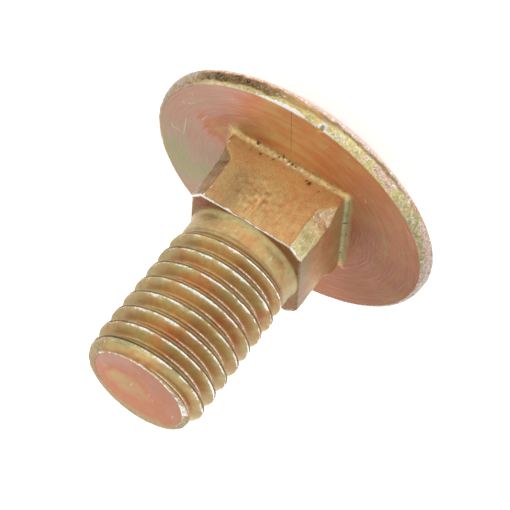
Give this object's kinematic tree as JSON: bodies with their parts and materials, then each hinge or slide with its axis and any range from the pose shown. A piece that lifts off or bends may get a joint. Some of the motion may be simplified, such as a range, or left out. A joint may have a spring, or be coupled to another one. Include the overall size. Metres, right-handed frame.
{
  "type": "truss head carriage bolt",
  "caption": "Short carriage bolt with a wide low truss head, a square neck with under-filled corners, a plain shank and a coarse rolled thread.",
  "frame": {"origin": "crown of the domed head, on the axis of the shank, where it stands on the surface", "axes": "+Z along the shank from the head to the end of the thread, +X out of the front flat of the square neck"},
  "size_m": [0.0244, 0.0244, 0.0247],
  "materials": {
    "yellow_zinc": "zinc-plated steel with a thin iridescent yellow passivation, worn pale on the crests and edges"
  },
  "bodies": {
    "root": {"screw": "yellow_zinc"}
  },
  "joints": []
}
